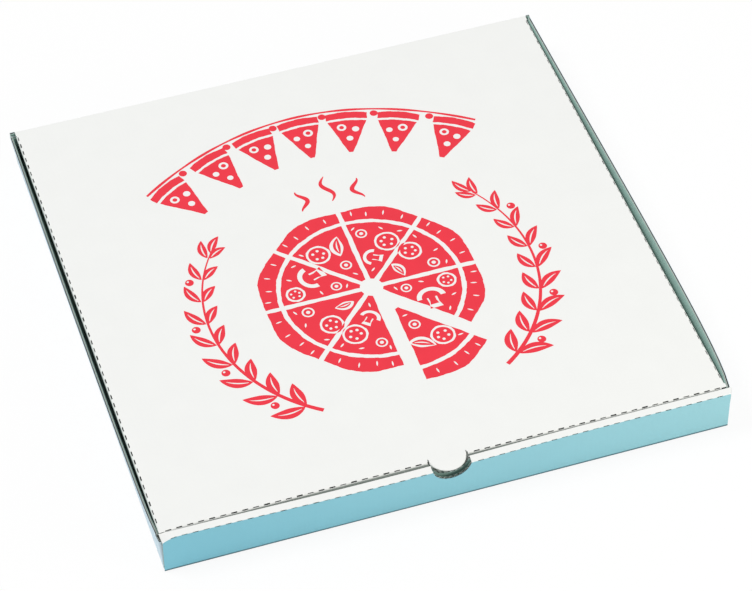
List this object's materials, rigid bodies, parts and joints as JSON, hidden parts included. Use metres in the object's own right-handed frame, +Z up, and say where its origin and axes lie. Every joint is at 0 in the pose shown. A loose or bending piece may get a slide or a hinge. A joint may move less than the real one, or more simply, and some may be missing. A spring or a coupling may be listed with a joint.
{
  "type": "pizza box",
  "caption": "Flat square corrugated pizza box with a tucked lid hinged at the back, a rolled front wall and a round thumb tab in a notch.",
  "frame": {"origin": "centre of the tray's base, on the plane that the box stands on", "axes": "+Z up, +X to the right of a person facing the front, -Y towards the front wall with the thumb tab, the lid's hinge at +Y"},
  "size_m": [0.36, 0.3622, 0.0295],
  "materials": {
    "blue_board": "matte coated liner, light blue outside, white on the ridge and inside",
    "white_board": "matte white coated liner",
    "red_ink": "flat red print"
  },
  "bodies": {
    "tray": {"tray": "blue_board"},
    "lid": {"lid": "white_board"}
  },
  "joints": [
    {"name": "lid_hinge", "type": "hinge", "parent": "tray", "child": "lid", "pos_m": [0, 0.17915, 0.02865], "axis": [-1, 0, 0], "range_deg": [0, 178]}
  ]
}
